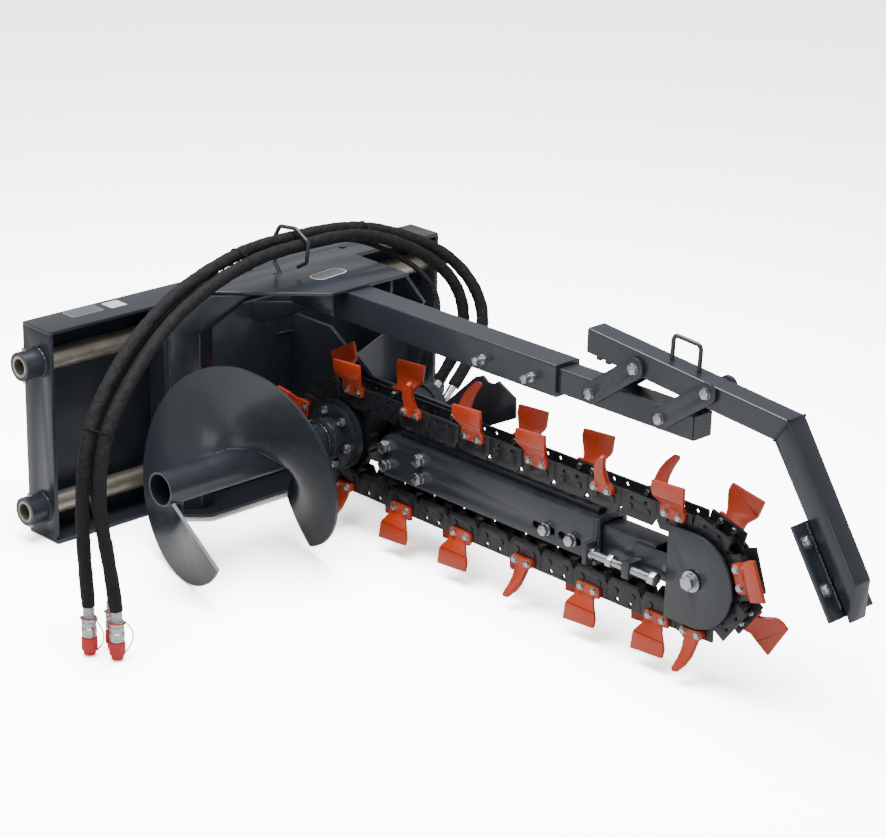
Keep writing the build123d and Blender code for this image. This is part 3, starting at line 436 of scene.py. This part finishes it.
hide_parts("dust_caps")
print("couplers", len(coupler_parts))


# %% [markdown]
# Each cap hangs on a soft strap: a ring round the coupler, a thin bowed strip and an eye
# at the cap. A closed loop of rings makes the ring, an open one the strip.

# %% cap straps
def bridge(target, rings, closed=False):
    """Skin over a row of rings with as many corners each, and caps on an open row."""
    sides = len(rings[0])
    pairs = list(zip(rings, rings[1:])) + ([(rings[-1], rings[0])] if closed else [])
    for first, second in pairs:
        start = min(range(sides), key=lambda n: (second[n].co - first[0].co).length)
        for corner in range(sides):
            a, b = (corner + start) % sides, (corner + 1 + start) % sides
            target.faces.new((first[corner], first[(corner + 1) % sides], second[b], second[a]))
    if not closed:
        for end in (rings[0], rings[-1]):
            bmesh.ops.contextual_create(target, geom=end)


def cord_of_rings(target, places, radius, closed=False, sides=8):
    """Round strip along a list of points."""
    rings = []
    count = len(places)
    for number, spot in enumerate(places):
        before = places[number - 1] if closed or number else spot
        after = places[(number + 1) % count] if closed or number < count - 1 else spot
        place = toward(spot, after - before)
        rings.append(bmesh.ops.create_circle(target, segments=sides, radius=radius,
                                             matrix=place)["verts"])
    bridge(target, rings, closed)


def ring_points(centre, radius, across, steps=28):
    """Points of a circle; across is the direction it faces."""
    axes = Vector(across).to_track_quat("Z", "Y").to_matrix()
    return [Vector(centre) + axes @ Vector((math.cos(a), math.sin(a), 0)) * radius
            for a in (2 * math.pi * n / steps for n in range(steps))]


strap_side = {"pressure_hose": (0.35, -0.94, 0), "return_hose": (0.95, -0.3, 0),
              "drain_hose": (0.7, 0.7, 0)}
for node, (x, y, top, wide) in coupler_spots.items():
    outward = Vector(strap_side[node])
    centre = Vector((x, y, 88)) * mm
    strap = bmesh.new()
    cord_of_rings(strap, ring_points(centre, (wide + 1.5) * mm, (0.15, 0.1, 1)), 1.6 * mm, True)
    reach = wide * mm
    strip = []
    for step in range(17):
        t = step / 16
        strip.append(centre + outward * (reach * (1.1 + 1.1 * math.sin(math.pi * t)))
                     + Vector((0, 0, -74 * mm * t)))
    cord_of_rings(strap, strip, 1.5 * mm)
    coupler_parts[node].append(settle(node.split("_")[0] + "_strap", strap, "carriage",
                                      "cap_plastic"))
print("straps", len(strap_side))


# %% [markdown]
# Plates and tubes cut from steel have softened edges that catch the light. A piece of
# this kind is a merged copy of the model's own node, its flat faces joined again and its
# sharp edges bevelled.

# %% softened plates
flat_angle = math.radians(1)     # faces meeting at less are joined into one
sharp_angle = math.radians(32)   # edges sharper than this are bevelled


def softened(node, width, body):
    """Copy of a node with its sharp edges bevelled by a width in mm."""
    shape = bmesh.new()
    shape.from_mesh(frame["nodes"][node].data)
    bmesh.ops.remove_doubles(shape, verts=shape.verts, dist=same_spot)
    bmesh.ops.dissolve_limit(shape, angle_limit=flat_angle, verts=shape.verts,
                             edges=shape.edges)
    sharp = [e for e in shape.edges
             if len(e.link_faces) == 2 and e.calc_face_angle(0) > sharp_angle]
    bmesh.ops.bevel(shape, geom=sharp, offset=width * mm, affect="EDGES", segments=2,
                    profile=0.5, material=-1, clamp_overlap=True)
    return settle(node + "_soft", shape, body, slots[node], [node])


body_of = {part: body for body, parts in frame["record"]["behaviour"]["bodies"].items()
           for part in parts}
soft_widths = {
    "frame_top_plate": 1.2, "frame_end_plates": 1.2, "frame_bottom_plate": 1.2,
    "carriage_top_plate": 1.4, "carriage_back_plate": 1.2, "carriage_left_leg": 1.4,
    "carriage_right_leg": 1.4, "carriage_gussets": 1.2, "drive_plate": 1.4, "digging_bar": 3.0,
    "bar_rim_and_guides": 1.2, "nose_extension": 4.0, "nose_fork_arms": 1.0, "nose_plates": 1.0,
    "crumber_arm_lower": 3.0, "crumber_shoe": 1.6, "lift_links_front": 1.0,
    "lift_links_rear": 1.0, "cup_teeth": 1.5, "claw_teeth": 2.2, "chain_outer_plates": 0.9,
}
for node, width in soft_widths.items():
    softened(node, width, body_of[node])
print("softened", len(soft_widths))


# %% [markdown]
# Every bolt is a hexagon on a washer, with the thread showing past its nut. The model has
# each as a plain rod with plain hexagons, so its loose solids tell where the bolts are.

# %% bolts
rod_share = 0.27     # radius of a rod as a share of its hexagon's width across flats


def corner_radius(across):
    """Radius to the corners of a hexagon, from its width across flats."""
    return across / 2 / math.cos(math.pi / 6)


def solids_of(node):
    """Separate solids of a node as lists of points."""
    shape = bmesh.new()
    shape.from_mesh(frame["nodes"][node].data)
    bmesh.ops.remove_doubles(shape, verts=shape.verts, dist=same_spot)
    found = []
    seen = set()
    for first in shape.verts:
        if first in seen:
            continue
        seen.add(first)
        queue = [first]
        group = []
        while queue:
            vert = queue.pop()
            group.append(vert.co.copy())
            for edge in vert.link_edges:
                other = edge.other_vert(vert)
                if other not in seen:
                    seen.add(other)
                    queue.append(other)
        found.append(group)
    shape.free()
    return found


def disc(target, place, radius, depth, sides=24, bevel=0.0):
    """Round or six-sided slab standing on a place, along its Z."""
    made = bmesh.ops.create_cone(target, cap_ends=True, segments=sides, radius1=radius,
                                 radius2=radius, depth=depth,
                                 matrix=place @ Matrix.Translation((0, 0, depth / 2)))["verts"]
    if bevel:
        top = [v for v in made if (place.inverted() @ v.co).z > depth * 0.5]
        rim = {e for v in top for e in v.link_edges if all(w in top for w in e.verts)}
        bmesh.ops.bevel(target, geom=list(rim), offset=bevel, affect="EDGES", segments=2,
                        profile=0.5, material=-1)


def bolt_end(target, spot, direction, across, head, washer, stud=0.0, twist=0.3):
    """Washer, spring washer, hexagon and the end of the thread, from a face outwards."""
    place = toward(spot, direction) @ Matrix.Rotation(twist, 4, "Z")
    base = 0.0
    for radius, depth in washer:
        disc(target, place @ Matrix.Translation((0, 0, base)), radius, depth)
        base += depth
    at_head = place @ Matrix.Translation((0, 0, base))
    disc(target, at_head, corner_radius(across), head, 6, across * 0.05)
    disc(target, at_head, across * 0.46, head + across * 0.02, 24, across * 0.02)
    if stud:
        disc(target, at_head, across * rod_share, head + stud, 16, across * 0.04)


def x_bolts(node, body, across, head, washer, stud, far_stud=None):
    """Rebuild bolts that lie along X, from the outermost faces of each solid."""
    target = bmesh.new()
    draw = random.Random(node)
    places = solids_of(node)
    for points in places:
        first = min(p.x for p in points)
        last = max(p.x for p in points)
        wide = [p for p in points if p.x < first + 2 * mm]
        y = (min(p.y for p in wide) + max(p.y for p in wide)) / 2
        z = (min(p.z for p in wide) + max(p.z for p in wide)) / 2
        thick = head + sum(depth for _, depth in washer)
        disc(target, toward((first + thick * 0.5, y, z), (1, 0, 0)), across * rod_share,
             last - first - thick, 12)
        for spot, way, length in ((first + thick + stud, -1, stud),
                                  (last - thick - (far_stud or stud), 1, far_stud or stud)):
            bolt_end(target, (spot, y, z), (way, 0, 0), across, head, washer, length,
                     draw.random())
    settle(node + "_fine", target, body, slots[node], [node])
    print(node, len(places))


x_bolts("tooth_bolts", "carriage", 14.0 * mm, 5.5 * mm, [(9 * mm, 1.0 * mm)], 0.6 * mm)
x_bolts("bar_mount_bolts", "carriage", 28.0 * mm, 11 * mm,
        [(16 * mm, 2.0 * mm), (13.5 * mm, 3.0 * mm)], 1.0 * mm)
x_bolts("extension_clamp_bolts", "bar_nose", 24 * mm, 10 * mm,
        [(15 * mm, 2.0 * mm), (12 * mm, 3 * mm)], 1.0 * mm)
for node, body in (("lower_pivot_bolts", "crumber_slider"), ("upper_pivot_bolts", "crumber_arm")):
    x_bolts(node, body, 22 * mm, 7.6 * mm, [(13 * mm, 1.0 * mm)], 1.0 * mm)
x_bolts("nose_axle", "bar_nose", 30 * mm, 13 * mm, [(24 * mm, 3 * mm), (19 * mm, 3 * mm)], 1 * mm)


# %% [markdown]
# Two clamp screws press on the inner crumber tube, each a nut, a bare shank and a head.
# Six bolts in a ring hold the auger's flange on the hub, every one turned differently.

# %% clamp screws and hub bolts
screws = bmesh.new()
for y in (-851, -1005):
    for start, across, length, sides in ((-52, 22, 9, 6), (-61, 12, 14, 12), (-74, 18, 10, 6)):
        disc(screws, toward(Vector((start, y, 566)) * mm, (-1, 0, 0)),
             corner_radius(across) * mm, length * mm, sides, 0.8 * mm)
settle("crumber_clamp_screws_fine", screws, "carriage", slots["crumber_clamp_screws"],
       ["crumber_clamp_screws"])

hub_y, hub_z = -360, 242
bolt_circle = 65
ring = bmesh.new()
for number in range(6):
    turn = math.radians(12 + 60 * number)
    spot = Vector((-74, hub_y + bolt_circle * math.cos(turn),
                   hub_z + bolt_circle * math.sin(turn))) * mm
    bolt_end(ring, spot, (-1, 0, 0), 19 * mm, 7 * mm, [(11.5 * mm, 2 * mm)], 0.8 * mm, turn)
settle("hub_bolts_fine", ring, "auger_drive", slots["hub_bolts"], ["hub_bolts"])


# %% [markdown]
# The shoe hangs on the lower arm by four bolts; its plane is found from the bend of the
# arm. The tension screw is a long threaded rod with two nuts and a collar.

# %% shoe bolts and tension screw
bend_top = Vector((0, -1713, 662.5))
bend_low = Vector((0, -1680, 609.7))
down = (Vector((0, -1909, 362)) - bend_top).normalized()
inward = Vector((0, -down.z, down.y))


def on_shoe(x, distance, depth):
    """Spot at a distance down the shoe's plane and a depth behind it, all in mm."""
    return (bend_low + down * distance + inward * depth + Vector((x, 0, 0))) * mm


ends = bmesh.new()
for x in (-62, 34):
    for distance in (215, 320):
        bolt_end(ends, on_shoe(x, distance, 0), -inward, 19 * mm, 7 * mm, [(16 * mm, 2.4 * mm)],
                 0.5 * mm, 0.4 + x)
        disc(ends, toward(on_shoe(x, distance, 6), inward), 6.5 * mm, 10 * mm, 16, 1 * mm)
settle("crumber_shoe_bolts_fine", ends, "crumber_arm", slots["crumber_shoe_bolts"],
       ["crumber_shoe_bolts"])

thread = bmesh.new()
ridges, pitch = 75, 2.5
outline = [(0, -1420)]
for number in range(ridges):
    foot = -1419 + number * pitch
    outline += [(8.9, foot), (10, foot + 1.0), (10, foot + 1.5)]
outline += [(14, -1241), (14, -1230), (0, -1230)]
turned(thread, outline, (0, 0))
for bottom, top in ((-1296, -1280), (-1420, -1402)):
    hexagon(thread, (0, 0), bottom + 0.1, top, 16)
lying = Matrix.Translation((-79 * mm, 0, 222 * mm)) @ Matrix.Rotation(math.radians(-90), 4, "X")
bmesh.ops.transform(thread, matrix=lying, verts=thread.verts)
settle("tension_screw_fine", thread, "tension_spindle", slots["tension_screw"], ["tension_screw"])
print("shoe bolts 4, screw ridges", ridges)


# %% [markdown]
# Weld seams are beads that swell and shrink a little, as a hand-held torch leaves them.
# They sit half sunk in the corner they join and are painted over with the steel.

# %% weld seams
def bead(target, places, radius, seed):
    """Rippled seam through a few points."""
    draw = random.Random(seed)
    line = []
    for a, b in zip(places, places[1:]):
        a, b = Vector(a) * mm, Vector(b) * mm
        count = max(2, int((b - a).length / (3 * mm)))
        line += [a.lerp(b, n / count) for n in range(count)]
    line.append(Vector(places[-1]) * mm)
    rings = []
    for number, spot in enumerate(line):
        ahead = line[min(number + 1, len(line) - 1)] - line[max(number - 1, 0)]
        size = radius * mm * (0.8 + 0.2 * math.sin(number * 1.9) + draw.uniform(-0.1, 0.1))
        rings.append(bmesh.ops.create_circle(target, segments=8, radius=size,
                                             matrix=toward(spot, ahead))["verts"])
    bridge(target, rings)


def ring_seam(x, y, z, radius):
    """Closed circle of points round a line along X."""
    return [(x, y + radius * math.cos(a), z + radius * math.sin(a))
            for a in (2 * math.pi * n / 36 for n in range(37))]


weld_radius = 3.4
root_radius = 42     # half a millimetre outside the auger tube
flight_turns = 1.16
flight_pitch = 348
seams = {
    "frame": [ring_seam(side * 631, 54, z, 36) for side in (-1, 1) for z in (80, 448)],
    "carriage": [[(125, -41, 386), (125, -41, 222)], [(32, -41, 398), (205, -41, 386)],
                 [(-262, -98, 30), (-262, -98, 478)], [(-318, -51, 24), (-318, -51, 478)],
                 [(-52.5, -200, 611), (-52.5, -394, 611)], [(24.5, -200, 611), (24.5, -394, 611)],
                 [(-103, -390, 611), (-103, -250, 611)], [(94, -390, 611), (94, -250, 611)],
                 [(-222, -51, 483), (-222, -202, 609)],
                 [(-57, -1229, 300), (-57, -1229, 190)]],
    "crumber_arm": [[(-42, *bend_top.yz), (-42, *bend_low.yz)],
                    [(14, *bend_top.yz), (14, *bend_low.yz)],
                    [(-40, *bend_top.yz), (12, *bend_top.yz)]]
                   + [[tuple(on_shoe(x, d, -1) / mm) for d in (178, 368)] for x in (-43, 15)],
}
root = []
for step in range(130):
    turn = 2 * math.pi * flight_turns * step / 129 + math.radians(125)
    root.append((-580 + flight_pitch * flight_turns * step / 129,
                 hub_y - root_radius * math.sin(turn), hub_z + root_radius * math.cos(turn)))
seams["auger_drive"] = [root, [(x - 12, y, z) for x, y, z in root],
                        ring_seam(-113, hub_y, hub_z, root_radius + 1)]
for body, paths in seams.items():
    weld = bmesh.new()
    for number, path in enumerate(paths):
        bead(weld, path, weld_radius, body + str(number))
    settle(body + "_welds", weld, body, "body_paint")
print("seams", sum(len(paths) for paths in seams.values()))


# %% [markdown]
# Blank films stand where a maker would put a data plate, a sticker and a badge: a pale
# rim round a plain field. Cable ties hold the two big hoses side by side.

# %% films and ties
def film(name, centre, size, turn, corner, rim_colour, field_colour, body):
    """Blank label: a rim and, a little higher, a smaller field, both with round corners."""
    for suffix, inset, rise, colour in (("rim", 0, 0.4, rim_colour),
                                        ("field", 2.5, 0.7, field_colour)):
        recipe = Recipe(name + " " + suffix)
        cloud = recipe.noise(60.0, 3)
        recipe.feed("Base Color", recipe.mix(cloud * 0.3, rgb(*colour),
                                             rgb(*(part * 0.8 for part in colour))))
        recipe.feed("Roughness", 0.32 + cloud * 0.15)
        sheet_mesh = bmesh.new()
        place = (Matrix.Translation(Vector(centre) * mm + Vector((0, 0, rise / 2 * mm)))
                 @ Matrix.Rotation(turn, 4, "Z")
                 @ Matrix.Diagonal(((size[0] - 2 * inset) * mm, (size[1] - 2 * inset) * mm,
                                    rise * mm, 1)))
        made = bmesh.ops.create_cube(sheet_mesh, size=1, matrix=place)["verts"]
        upright = [e for e in {e for v in made for e in v.link_edges}
                   if abs((e.verts[0].co - e.verts[1].co).normalized().z) > 0.9]
        bmesh.ops.bevel(sheet_mesh, geom=upright, offset=max(corner - inset, 0.5) * mm,
                        affect="EDGES", segments=5, profile=0.5, material=-1)
        settle(name + "_" + suffix, sheet_mesh, body, "body_paint", material=recipe.material)


film("data_plate", (-478, 76, 536), (92, 46), 0, 4, (0.30, 0.32, 0.33), (0.10, 0.11, 0.12), "frame")
film("sticker", (-388, 72, 536), (46, 44), 0, 1, (0.75, 0.76, 0.78), (0.62, 0.65, 0.70), "frame")
film("badge", (-10, -278, 620), (104, 44), math.radians(6), 18, (0.70, 0.72, 0.74),
     (0.10, 0.11, 0.12), "carriage")


def tie(name, share):
    """Strap round both big hoses, part of the way along."""
    first = lines["pressure_hose"][int(share * len(lines["pressure_hose"]))]
    others = lines["return_hose"]
    second = min(others, key=lambda p: (p - first).length)
    ahead = lines["pressure_hose"][int(share * len(lines["pressure_hose"])) + 1] - first
    across = second - first
    across = (across - ahead.normalized() * across.dot(ahead.normalized())).normalized()
    up = ahead.normalized().cross(across)
    loop = []
    for centre, side in ((second, 1), (first, -1)):
        for step in range(11):
            a = math.pi * (step / 10 - 0.5)
            loop.append(centre + (across * math.cos(a) + up * math.sin(a)) * side * 16.4 * mm)
    strap = bmesh.new()
    cord_of_rings(strap, loop, 1.4 * mm, True)
    settle(name, strap, "carriage", "hose_cover")


for number, share in enumerate((0.18, 0.5, 0.68)):
    tie("hose_tie_" + str(number), share)
print("films 3, ties 3")


# %% [markdown]


# %% [markdown]
# A wide pale floor and a white surround stand in for a product studio, with one large
# soft light overhead, one from the left and one from the front. The floor is brightened
# for camera rays alone: it looks nearly white in the picture, but lights the machine
# only as a plain pale floor would.

# %% stage and lights
def stage_floor(plain, seen_as):
    """Flat floor; plain is its tone for the machine, seen_as its tone for the camera."""
    flat = bmesh.new()
    bmesh.ops.create_grid(flat, x_segments=1, y_segments=1, size=40)
    mesh = bpy.data.meshes.new("floor")
    flat.to_mesh(mesh)
    flat.free()
    recipe = Recipe("studio floor")
    recipe.feed("Base Color", rgb(plain, plain, plain))
    recipe.feed("Roughness", 0.8)
    bright = recipe.tree.nodes.new("ShaderNodeBsdfDiffuse")
    bright.inputs["Color"].default_value = rgb(seen_as, seen_as, seen_as)
    seen = recipe.node("LightPath", {}, {}, "Is Camera Ray")
    both = recipe.node("MixShader", {}, {0: seen})
    recipe.tree.links.new(recipe.shader.outputs[0], both.socket.node.inputs[1])
    recipe.tree.links.new(bright.outputs[0], both.socket.node.inputs[2])
    recipe.tree.links.new(both.socket, recipe.tree.nodes["Material Output"].inputs[0])
    mesh.materials.append(recipe.material)
    floor = bpy.data.objects.new("floor", mesh)
    bpy.context.collection.objects.link(floor)
    floor.location.z = -0.001


def soft_light(name, spot, target, size, power):
    """Rectangular lamp in a spot, facing a target; power in watts."""
    lamp = bpy.data.lights.new(name, "AREA")
    lamp.shape = "RECTANGLE"
    lamp.size, lamp.size_y = size
    lamp.energy = power
    thing = bpy.data.objects.new(name, lamp)
    thing.matrix_world = toward(spot, Vector(spot) - Vector(target))
    bpy.context.collection.objects.link(thing)


stage_floor(plain=0.7, seen_as=6.5)
middle = (-0.1, -0.8, 0.3)
soft_light("overhead", (-0.6, -0.4, 3.4), middle, size=(3.0, 2.4), power=210)
soft_light("left", (-4.4, -0.6, 1.9), middle, size=(2.0, 1.6), power=16)
soft_light("front", (-0.6, -5.4, 2.2), middle, size=(2.2, 1.4), power=42)
world = bpy.data.worlds.new("studio")
world.use_nodes = True
world.node_tree.nodes["Background"].inputs[0].default_value = rgb(1.0, 1.0, 1.0)
world.node_tree.nodes["Background"].inputs[1].default_value = 0.44
bpy.context.scene.world = world
